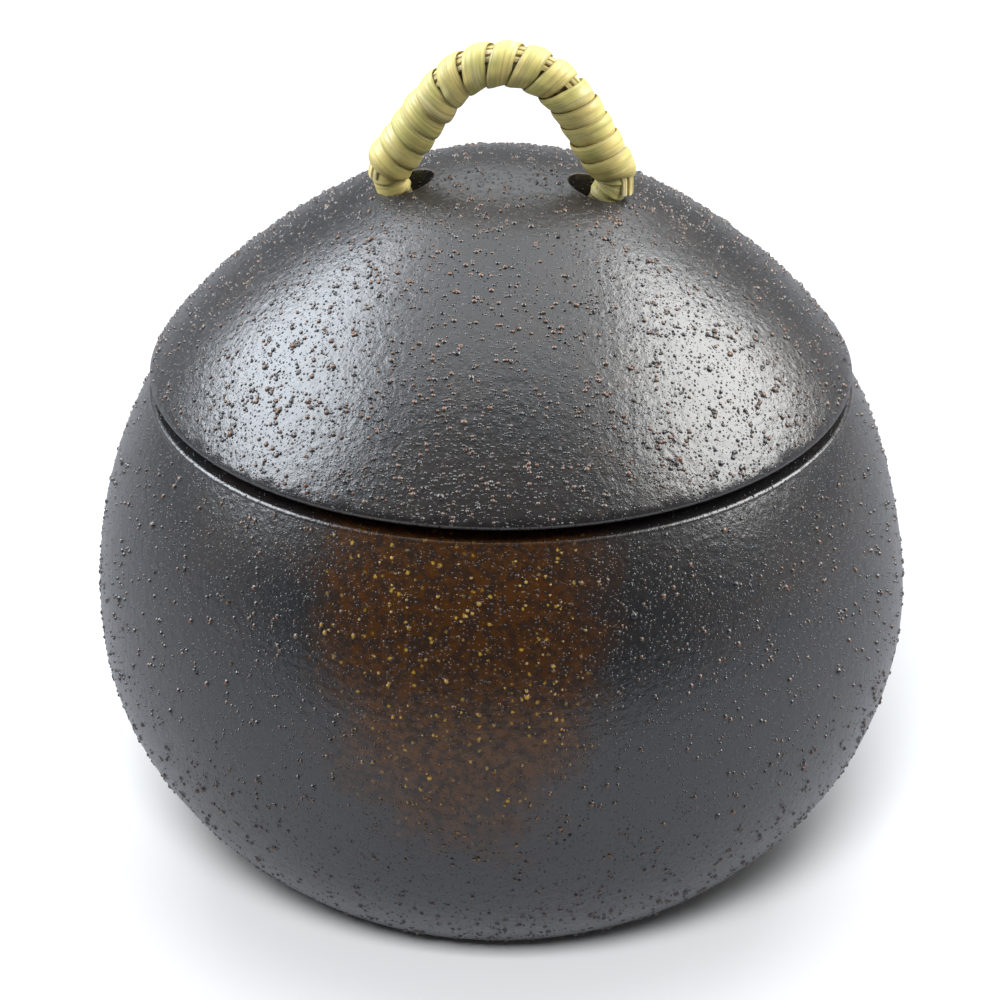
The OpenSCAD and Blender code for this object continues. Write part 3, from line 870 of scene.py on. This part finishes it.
def build_lid():
    s = bpy.context.scene.caddy_stoneware
    columns = 300
    edge_r, base_z = s.lid_radius, LID_BOX[1][2] - s.dome_height
    ring_r = s.rim_radius - s.rim_width - s.lid_play
    ring_in = ring_r - s.ring_width
    angle = np.linspace(0, math.pi / 2, 3000)
    outer = Outline(edge_r * np.sin(angle), lid_dome(edge_r * np.sin(angle)), disc=True)
    inner = Outline(ring_in * np.sin(angle), lid_dome(ring_in * np.sin(angle), inner=True), disc=True)
    turn = np.arange(HOLE_COLUMNS) / HOLE_COLUMNS * 2 * math.pi
    soft = 0.2 * MM

    def hole_ring(outline, x, radius):
        px, py = x + radius * np.cos(turn), radius * np.sin(turn)
        rho = np.interp(np.hypot(px, py), outline.r, outline.rho)
        around = np.arctan2(py, px)
        return np.stack([rho * np.cos(around), rho * np.sin(around)], 1)
    middles = (-0.5 * s.hole_span, 0.5 * s.hole_span)
    dome = grained_surface(outer, columns, s.coarse_lid, s.fine_lid, s.seed + 11,
                           uneven_wall(s.seed + 12, 0.03 * MM), s.mesh_step,
                           [hole_ring(outer, x, s.hole_radius + soft) for x in middles])
    hollow = grained_surface(inner, columns, 0.0, 0.0, s.seed + 21, uneven_wall(s.seed + 22, 0.03 * MM),
                             2.2 * MM, [hole_ring(inner, x, s.hole_radius + soft) for x in middles])
    shell = Shell()
    scale = 0.235 / (inner.s[-1] + 21 * MM)
    loops = shell.surface(dome, (0.25, 0.5), 0.235 / outer.s[-1])
    loops_in = shell.surface(hollow, (0.75, 0.5), scale, inward=True)
    lid_z = base_z - s.edge_round
    ledge_z = LID_BOX[0][2]
    edge = round_rim((edge_r - s.edge_round, base_z), s.edge_round, 0, -90)
    under = fillet([edge[-1], (ring_r, lid_z), (ring_r, ledge_z), (ring_in, ledge_z), (ring_in, base_z)],
                   0.4 * MM, 4)
    outline = edge[:-1] + under
    raw = np.array([1.0 if v < lid_z + 0.1 * MM and r < ring_r + 1.5 * MM else 0.0 for r, v in outline])
    shell.lathe(outline, columns, (0.75, 0.5), (0.235, inner.s[-1] * scale), -1, loops[0], loops_in[0], raw)
    out = np.stack([np.cos(turn), np.sin(turn), np.zeros(HOLE_COLUMNS)], 1)
    up = np.array([0, 0, 1.0])
    # The hole's wall runs from the rounded upper edge to the rounded lower edge.
    tilt = list(np.linspace(0, math.pi / 2, 5))
    sides = [(a, False) for a in tilt] + [(a, True) for a in tilt[::-1]]
    face = [(-up if below else up) * math.cos(a) - out * math.sin(a) for a, below in sides]
    for k, x in enumerate(middles):
        rows = []
        for a, below in sides:
            reach = s.hole_radius + soft * (1 - math.sin(a))
            drop = -soft * (1 - math.cos(a))
            px, py = x + reach * np.cos(turn), reach * np.sin(turn)
            level = lid_dome(np.hypot(px, py), inner=below)
            rows.append(np.stack([px, py, level - drop if below else level + drop], 1))

        def uv(row, column, n, wraps, k=k):
            u = (column + (0 if not wraps else n * (column == 0))) / n
            return np.stack([0.02 + 0.45 * k + 0.4 * u, np.full(len(column), 0.93 + 0.005 * row)], 1)
        bare = [0.0, 0.6, 0.8, 0.5] + [0.0] * 6
        shell.bands(rows, list(zip(face, face[1:])), loops[1 + k], loops_in[1 + k], bare, uv)
    return shell.build("lid_stoneware", stoneware_material("lid_glaze", rust=False))


# ---- rattan handle ---------------------------------------------------------------------------


class HandleLine:
    """The line that the handle follows in the XZ plane, with its outward normals."""

    def __init__(self):
        h, s = bpy.context.scene.caddy_handle, bpy.context.scene.caddy_stoneware
        self.h = h
        hole_x = 0.5 * s.hole_span
        hole_z = float(lid_dome(hole_x))
        self.arch = np.array([h.arch_lean, LID_BOX[1][2] + h.grip_height - h.arch_radius])
        self.cross_z = float(lid_dome(hole_x, inner=True)) - h.cross_drop
        self.ankle, self.angle, self.shoulder, self.leg = {}, {}, {}, {}
        for side in (-1, 1):
            ankle = np.array([side * (hole_x + h.ankle_out), hole_z + h.ankle_height])
            d = ankle - self.arch
            splay = math.degrees(math.atan2(d[1], side * d[0]) + math.acos(h.arch_radius / np.linalg.norm(d)))
            self.angle[side] = 180 - splay if side < 0 else splay
            self.ankle[side] = ankle
            self.shoulder[side] = self.arch + h.arch_radius * self.out(self.angle[side])
            self.leg[side] = float(np.linalg.norm(self.shoulder[side] - ankle))
        self.arch_start = self.leg[-1]
        self.arch_end = self.arch_start + h.arch_radius * math.radians(self.angle[-1] - self.angle[1])
        self.length = self.arch_end + self.leg[1]

    @staticmethod
    def out(degrees):
        return np.array([math.cos(math.radians(degrees)), math.sin(math.radians(degrees))])

    def arc(self, centre, radius, a0, a1, step):
        n = max(2, int(abs(a1 - a0) / step))
        return [(centre + radius * self.out(a), a) for a in np.linspace(a0, a1, n + 1)]

    def turn(self, side):
        return self.ankle[side] - self.h.turn_radius * self.out(self.angle[side])

    def over(self, past, step):
        """Stations from the left turn over the arch to the right one; past is how far in the turns begin."""
        r = self.h.turn_radius
        return (self.arc(self.turn(-1), r, 180 + past, self.angle[-1], step)
                + self.arc(self.arch, self.h.arch_radius, self.angle[-1], self.angle[1], step)
                + self.arc(self.turn(1), r, self.angle[1], -past, step))

    def inner_turn(self, side):
        lean, r = math.radians(self.h.lean_in), self.h.turn_radius
        end = self.turn(side) + r * np.array([side * math.cos(lean), -math.sin(lean)])
        drop = end[1] - (self.cross_z + r * (1 - math.sin(lean)))
        return np.array([end[0] - side * (drop * math.tan(lean) + r * math.cos(lean)), self.cross_z + r])

    def grip(self, at, up):
        """A point at the distance at along the grip, lifted by up along the outward normal."""
        past = max(-at, at - self.length)
        if past > 0:
            side = -1 if at < 0 else 1
            a = self.angle[side] - side * math.degrees(past / self.h.turn_radius)
            return self.turn(side) + max(self.h.turn_radius + up, 0.12 * MM) * self.out(a)
        if at < self.arch_start:
            base = self.ankle[-1] + (self.shoulder[-1] - self.ankle[-1]) * at / self.arch_start
            return base + up * self.out(self.angle[-1])
        if at > self.arch_end:
            base = self.ankle[1] + (self.shoulder[1] - self.ankle[1]) * (self.length - at) / self.leg[1]
            return base + up * self.out(self.angle[1])
        a = self.angle[-1] - math.degrees((at - self.arch_start) / self.h.arch_radius)
        return self.arch + (self.h.arch_radius + up) * self.out(a)


def smooth_noise(seed, count, spread):
    """A random function of one number, repeatable from its seed."""
    rng = np.random.default_rng(seed)
    knots = rng.normal(0, spread, count)

    def at(x):
        return float(np.interp(x, np.arange(count), knots))
    return at


def ring_mesh(name, rings, fibre, material, crease):
    """A closed mesh through rings of equal length; fibre holds each point's (along, across, id)."""
    n, k = len(rings), len(rings[0])
    place = np.concatenate(rings)
    faces = [(k * i + j, k * i + (j + 1) % k, k * (i + 1) + (j + 1) % k, k * (i + 1) + j)
             for i in range(n - 1) for j in range(k)]
    faces += [tuple(range(k))[::-1], tuple(range(k * (n - 1), k * n))]
    a, b, c = place[faces[0][0]], place[faces[0][1]], place[faces[0][2]]
    middle = rings[0].mean(0)
    if np.cross(b - a, c - a) @ (a - middle) < 0:
        faces = [f[::-1] for f in faces]
    piece = add_mesh(name, place.tolist(), faces, material, smooth=True)
    piece.data.set_sharp_from_angle(angle=math.radians(crease))
    mark_points(piece.data, "fibre", "FLOAT_VECTOR", fibre)
    return piece


def swept(name, stations, section, material, seed, crease):
    """A section, a list of (up, y), carried along stations of (point, normal angle)."""
    rings, fibre, along, last = [], [], 0.0, None
    around = np.array([math.atan2(c[1], c[0]) for c in section]) * 1 * MM
    for p, a in stations:
        out = HandleLine.out(a)
        if last is not None:
            along += float(np.linalg.norm(p - last))
        last = p
        rings.append(np.array([[p[0] + up * out[0], y, p[1] + up * out[1]] for up, y in section]))
        fibre.append(np.stack([np.full(len(section), along), around, np.full(len(section), seed * 1.0)], 1))
    return ring_mesh(name, rings, fibre, material, crease)


def build_canes():
    h = bpy.context.scene.caddy_handle
    line = HandleLine()
    material = rattan_material("cane")
    step, r = h.cane_step, h.cane_radius
    offsets = {
        "core_cane_front": (-h.cane_shift + step / (2 * math.sqrt(3)), -step / 2),
        "core_cane_back": (-h.cane_shift + step / (2 * math.sqrt(3)), step / 2),
        "core_cane_inner": (-h.cane_shift - step / math.sqrt(3), 0.0),
    }
    stations = [(np.array([-0.5 * MM, line.cross_z]), 270.0)]
    stations += line.arc(line.inner_turn(-1), h.turn_radius, 270, 180 + h.lean_in, 6)
    stations += line.over(h.lean_in, 6)
    stations += line.arc(line.inner_turn(1), h.turn_radius, -h.lean_in, -90, 6)
    stations.append((np.array([0.5 * MM, line.cross_z]), -90.0))
    pieces = []
    for seed, (node, (up, y)) in enumerate(offsets.items()):
        section = [(up + r * math.cos(a), y + r * math.sin(a)) for a in np.arange(20) / 20 * 2 * math.pi]
        piece = swept("rattan_" + node, stations, section, material, seed, 60)
        pieces.append((piece, node))
    return pieces


def build_strands():
    h = bpy.context.scene.caddy_handle
    line = HandleLine()
    material = rattan_material("pale")
    inside = h.wrap_inside - h.strip_clear
    half = h.strand_width / 2
    ring = math.sqrt(inside**2 - half**2) - h.strand_thickness / 2
    ring_in = ring - h.strand_thickness / 2
    spread = 2 * (math.atan2(half, ring_in) + math.asin(h.strand_gap / 2 / math.hypot(half, ring_in)))
    pieces = []
    for i in range(1, 6):
        node = "lining_strand_%d" % i
        a = (i - 3) * spread
        radial, across = np.array([math.cos(a), math.sin(a)]), np.array([-math.sin(a), math.cos(a)])
        mid = ring * radial
        t, w = h.strand_thickness / 2, h.strand_width / 2
        shape = [(-t, -w), (-t, -w / 3), (-t, w / 3), (-t, w), (-0.2 * t, w), (0.7 * t, 0.82 * w), (t, 0.4 * w),
                 (t, -0.4 * w), (0.7 * t, -0.82 * w), (-0.2 * t, -w)]
        section = [tuple(mid + u * radial + v * across) for u, v in shape]
        # The left tip stands above the lid; the right one ends where its part does.
        x = abs(line.turn(-1)[0]) + h.turn_radius + mid[0] - h.strand_thickness
        left_tip = min(float(lid_dome(math.hypot(x, mid[1]))) + LEFT_TIP, line.turn(-1)[1] - 0.1 * MM)
        right_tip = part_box(node)[0][2]
        stations = [(np.array([line.turn(-1)[0] - h.turn_radius, left_tip]), 180.0)]
        stations += line.over(0, 3)
        stations.append((np.array([line.turn(1)[0] + h.turn_radius, right_tip]), 0.0))
        piece = swept("rattan_" + node, stations, section, material, 10 + i, 45)
        pieces.append((piece, node))
    return pieces


def strip_section(u, thickness):
    """Rise of the rattan skin's rounded outside over its flat inside, across its width."""
    return thickness * (1.0 - 0.55 * abs(2 * u - 1) ** 5)


def build_wrap():
    h = bpy.context.scene.caddy_handle
    line = HandleLine()
    w, t = h.strip_width, h.strip_thickness

    def turns_at(s):
        return (min(s, line.arch_start) / h.leg_pitch
                + max(0.0, min(s, line.arch_end) - line.arch_start) / h.arch_pitch
                + max(0.0, s - line.arch_end) / h.leg_pitch)

    def reach(turn):
        t0, t1 = turns_at(line.arch_start), turns_at(line.arch_end)
        if turn < t0:
            return turn * h.leg_pitch
        if turn < t1:
            return line.arch_start + (turn - t0) * h.arch_pitch
        return line.arch_end + (turn - t1) * h.leg_pitch
    steps = 48
    extra = 0.5
    first = turns_at(w / 2) - extra
    n = int(round((turns_at(line.length - w / 2) + extra - first) * 2) / 2 * steps)
    shift, bulge = smooth_noise(31, 40, 0.07 * MM), smooth_noise(32, 90, 0.45)
    tilt = smooth_noise(33, 40, 0.04 * MM)
    outer_u = np.array([0.0, 0.025, 0.08, 0.17, 0.28, 0.4, 0.5, 0.6, 0.72, 0.83, 0.92, 0.975, 1.0])
    rings, fibre = [], []
    for i in range(n + 1):
        turn = i / steps
        s = reach(first + turn) if first + turn > 0 else (first + turn) * h.leg_pitch
        a = -2 * math.pi * (turn - extra)
        into = min(1.0, max(0.0, (s - line.arch_start + 1 * MM) / (2 * MM)),
                   max(0.0, (line.arch_end + 1 * MM - s) / (2 * MM)))
        stretch = 1 + into * h.wrap_inside * math.cos(a) / h.arch_radius
        felt = (h.leg_pitch + into * (h.arch_pitch - h.leg_pitch)) * stretch
        lap = min(1.0, max(0.0, (w + 0.35 * MM - felt) / (0.3 * MM)))
        lift = lap * (t + h.strip_clear) / felt * w
        s += min(max(shift(turn), -0.12 * MM), 0.12 * MM)
        row, mark = [], []
        for u, over in [(u, True) for u in outer_u] + [(u, False) for u in (0.75, 0.5, 0.25)]:
            rho = h.wrap_inside + lift * (1 - u) + tilt(turn) * (u - 0.5)
            if over:
                crown = 0.13 * MM * math.sin(math.pi * u) ** 0.8 * (1 + bulge(turn * 3))
                rho += strip_section(u, t) + crown
            p = line.grip(s + (u - 0.5) * w / stretch, rho * math.cos(a))
            row.append((p[0], -rho * math.sin(a), p[1]))
            mark.append((turn * 2 * math.pi * 2.8 * MM, (u - 0.5) * w, 1.0))
        rings.append(np.array(row))
        fibre.append(np.array(mark))
    wrap = ring_mesh("rattan_wrap", rings, fibre, rattan_material("skin"), 50)
    return [(wrap, "handle_wrap")] + [(build_sleeve(line, side), "handle_wrap") for side in (-1, 1)]


def build_sleeve(line, side):
    """The end of the strip, wound round the canes alone where they turn in to a hole."""
    h = line.h
    radius = h.cane_step / math.sqrt(3) + h.cane_radius + h.strip_clear
    pitch, columns = 1.9 * MM, 40
    lean = math.radians(h.lean_in)
    arc = math.radians(180 - line.angle[-1] if side < 0 else line.angle[1]) + lean
    reach = np.concatenate([np.linspace(-1.2 * MM, 0, 6), np.linspace(0, arc, 26)[1:] * h.turn_radius])
    tail = np.linspace(0, 1.8 * MM, 10)[1:]
    rings, fibre = [], []
    for s in np.concatenate([reach, reach[-1] + tail]):
        row, mark = [], []
        for k in range(columns):
            a = 2 * math.pi * k / columns
            phase = (s / pitch + side * k / columns) % 1.0
            rho = radius + h.strip_thickness * (0.35 + 0.65 * phase) * min(1.0, (1 - phase) * 14 + 0.2)
            up, y = rho * math.cos(a) - h.cane_shift, -rho * math.sin(a)
            past = min(s, reach[-1])
            p = line.grip(-past if side < 0 else line.length + past, up)
            if s > reach[-1]:
                p = p + (s - reach[-1]) * np.array([-side * math.sin(lean), -math.cos(lean)])
            row.append((p[0], y, p[1]))
            mark.append((k / columns * 2 * math.pi * 2.2 * MM, (phase - 0.5) * 2.4 * MM, 4.0 + side))
        rings.append(np.array(row))
        fibre.append(np.array(mark))
    name = "rattan_sleeve_" + ("left" if side < 0 else "right")
    return ring_mesh(name, rings, fibre, rattan_material("skin"), 50)


def build_binding():
    h = bpy.context.scene.caddy_handle
    line = HandleLine()
    inside = h.cane_step / math.sqrt(3) + h.cane_radius + h.strip_clear
    pitch = h.bind_width + 3 * h.strip_clear
    w, t, steps = h.bind_width, h.strip_thickness, 36
    outer_u, inner_u = (0.0, 0.04, 0.15, 0.35, 0.5, 0.65, 0.85, 0.96, 1.0), (0.66, 0.33)
    rings, fibre = [], []
    n = h.bind_turns * steps
    for i in range(n + 1):
        x = (i / n - 0.5) * h.bind_turns * pitch
        a = 2 * math.pi * i / steps
        row, mark = [], []
        for u, over in [(u, True) for u in outer_u] + [(u, False) for u in inner_u]:
            rho = inside + (strip_section(u, t) if over else 0.0)
            row.append((x + (u - 0.5) * w, rho * math.cos(a), line.cross_z + h.cane_shift + rho * math.sin(a)))
            mark.append((i / steps * 2 * math.pi * 2.2 * MM, (u - 0.5) * w, 3.0))
        rings.append(np.array(row))
        fibre.append(np.array(mark))
    return [(ring_mesh("rattan_binding", rings, fibre, rattan_material("skin"), 50), "cane_binding")]


# ---- stage -----------------------------------------------------------------------------------


def softbox(name, direction, distance, size, power, colour):
    light = bpy.data.lights.new(name, "AREA")
    light.shape, light.size, light.size_y, light.energy, light.color = "RECTANGLE", *size, power, colour
    lamp = bpy.data.objects.new(name, light)
    away = Vector(direction).normalized()
    lamp.location = Vector((0, 0, 0.06)) + away * distance
    lamp.rotation_euler = away.to_track_quat("Z", "Y").to_euler()
    bpy.context.scene.collection.objects.link(lamp)
    return lamp


def build_stage():
    t = bpy.context.scene.caddy_studio
    material, n = new_material("plain_floor")
    seen = n.add("ShaderNodeLightPath")["Is Camera Ray"]
    shader = n.add("ShaderNodeBsdfPrincipled", Base_Color=n.mix(seen, (0.57, 0.58, 0.62), (0.95, 0.95, 0.95)),
                   Roughness=0.8)
    n.add("ShaderNodeOutputMaterial", Surface=shader[0])
    floor = add_mesh("floor", [(-6, -6, 0), (6, -6, 0), (6, 6, 0), (-6, 6, 0)], [(0, 1, 2, 3)], material)
    floor.location.z = -0.05 * MM
    left = softbox("left_softbox", (-0.78, 0.12, 0.62), 0.75, (0.72, 0.48), t.left_power,
                   (0.87, 0.93, 1.0))
    right = softbox("right_softbox", (0.78, 0.16, 0.62), 0.75, (0.72, 0.48), t.right_power,
                    (1.0, 1.0, 0.99))
    softbox("top_light", (0.0, 0.40, 0.95), 1.03, (1.2, 1.9), t.top_power, (0.94, 0.97, 1.0))
    fill = softbox("floor_fill", (-0.03, -0.75, 0.66), 1.4, (0.5, 0.3), t.fill_power, (0.96, 0.98, 1.0))
    lit = bpy.data.collections.new("lit_by_floor_fill")
    lit.objects.link(floor)
    fill.light_linking.receiver_collection = lit
    # The side softboxes leave the floor alone, so that the shadow under the belly stays dark.
    spared = bpy.data.collections.new("not_lit_by_softboxes")
    spared.objects.link(floor)
    spared.collection_objects[0].light_linking.link_state = "EXCLUDE"
    left.light_linking.receiver_collection = right.light_linking.receiver_collection = spared
    # A dark card in front, which only the glaze sees: a painted dark reflection that stands in for the unlit room
    # in front.
    dark, n = new_material("dark_reflection_card")
    shader = n.add("ShaderNodeBsdfPrincipled", Base_Color=(0.01, 0.01, 0.01), Roughness=1.0)
    n.add("ShaderNodeOutputMaterial", Surface=shader[0])
    card = add_mesh("dark_reflection_card", [(-0.7, -0.24, 0), (0.7, -0.24, 0), (0.7, -0.34, 0.26), (-0.7, -0.34, 0.26)],
                    [(0, 1, 2, 3)], dark)
    card.visible_camera = card.visible_shadow = False
    world = bpy.data.worlds.new("studio")
    world.use_nodes = True
    world.node_tree.nodes["Background"].inputs["Color"].default_value = (1, 1, 1, 1)
    world.node_tree.nodes["Background"].inputs["Strength"].default_value = t.ambient
    bpy.context.scene.world = world
    bpy.context.scene.view_settings.view_transform = "Standard"

    back = Vector((math.sin(t.azimuth) * math.cos(t.elevation), -math.cos(t.azimuth) * math.cos(t.elevation),
                   math.sin(t.elevation)))
    data = bpy.data.cameras.new("camera")
    data.sensor_width, data.lens = 36.0, t.lens
    camera = bpy.data.objects.new("camera", data)
    camera.location = Vector((-0.13 * MM, 0, t.target_height)) + back * t.distance
    camera.rotation_euler = back.to_track_quat("Z", "Y").to_euler()
    bpy.context.scene.collection.objects.link(camera)
    bpy.context.scene.camera = camera


# ---- operators -------------------------------------------------------------------------------


def place_on_body(piece, nodes, body):
    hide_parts(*nodes)
    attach(piece, body)


class CADDY_OT_jar(bpy.types.Operator):
    """Builds the grained stoneware jar with its gallery rim and foot"""

    bl_idname = "tea_caddy.jar"
    bl_label = "Jar"

    def execute(self, context):
        place_on_body(build_jar(), ["jar_body"], "jar")
        return {"FINISHED"}


class CADDY_OT_lid(bpy.types.Operator):
    """Builds the domed stoneware lid with its two handle holes and locating ring"""

    bl_idname = "tea_caddy.lid"
    bl_label = "Lid"

    def execute(self, context):
        place_on_body(build_lid(), ["lid"], "lid")
        return {"FINISHED"}


class CADDY_OT_canes(bpy.types.Operator):
    """Builds the three core canes of the handle"""

    bl_idname = "tea_caddy.canes"
    bl_label = "Core canes"

    def execute(self, context):
        for piece, node in build_canes():
            place_on_body(piece, [node], "handle")
        return {"FINISHED"}


class CADDY_OT_strands(bpy.types.Operator):
    """Builds the lining strands between the canes and the wrapping"""

    bl_idname = "tea_caddy.strands"
    bl_label = "Lining strands"

    def execute(self, context):
        for piece, node in build_strands():
            place_on_body(piece, [node], "handle")
        return {"FINISHED"}


class CADDY_OT_wrapping(bpy.types.Operator):
    """Builds the strip wound round the grip and the binding under the lid"""

    bl_idname = "tea_caddy.wrapping"
    bl_label = "Wrapping and binding"

    def execute(self, context):
        for piece, node in build_wrap() + build_binding():
            place_on_body(piece, [node], "handle")
        return {"FINISHED"}


class CADDY_OT_stage(bpy.types.Operator):
    """Builds the pale floor, the soft lights and the camera"""

    bl_idname = "tea_caddy.stage"
    bl_label = "Stage"

    def execute(self, context):
        build_stage()
        return {"FINISHED"}


OPERATORS = (CADDY_OT_stage, CADDY_OT_jar, CADDY_OT_lid, CADDY_OT_canes, CADDY_OT_strands, CADDY_OT_wrapping)


class CADDY_PT_panel(bpy.types.Panel):
    """Lists the pieces of the tea caddy and their settings"""

    bl_label = "Tea caddy"
    bl_idname = "CADDY_PT_panel"
    bl_space_type = "VIEW_3D"
    bl_region_type = "UI"
    bl_category = "Tea caddy"

    def draw(self, context):
        for operator in OPERATORS:
            self.layout.operator(operator.bl_idname)
        for name, group in GROUPS.items():
            box = self.layout.box()
            box.label(text=group.bl_rna.name)
            for key in group.__annotations__:
                box.prop(getattr(context.scene, name), key)


def register():
    for group in GROUPS.values():
        bpy.utils.register_class(group)
    for name, group in GROUPS.items():
        setattr(bpy.types.Scene, name, PointerProperty(type=group))
    for operator in OPERATORS:
        bpy.utils.register_class(operator)
    bpy.utils.register_class(CADDY_PT_panel)


def unregister():
    bpy.utils.unregister_class(CADDY_PT_panel)
    for operator in reversed(OPERATORS):
        bpy.utils.unregister_class(operator)
    for name, group in GROUPS.items():
        delattr(bpy.types.Scene, name)
        bpy.utils.unregister_class(group)


def main():
    register()
    for operator in OPERATORS:
        group, name = operator.bl_idname.split(".")
        getattr(getattr(bpy.ops, group), name)()


if __name__ == "__main__":
    main()
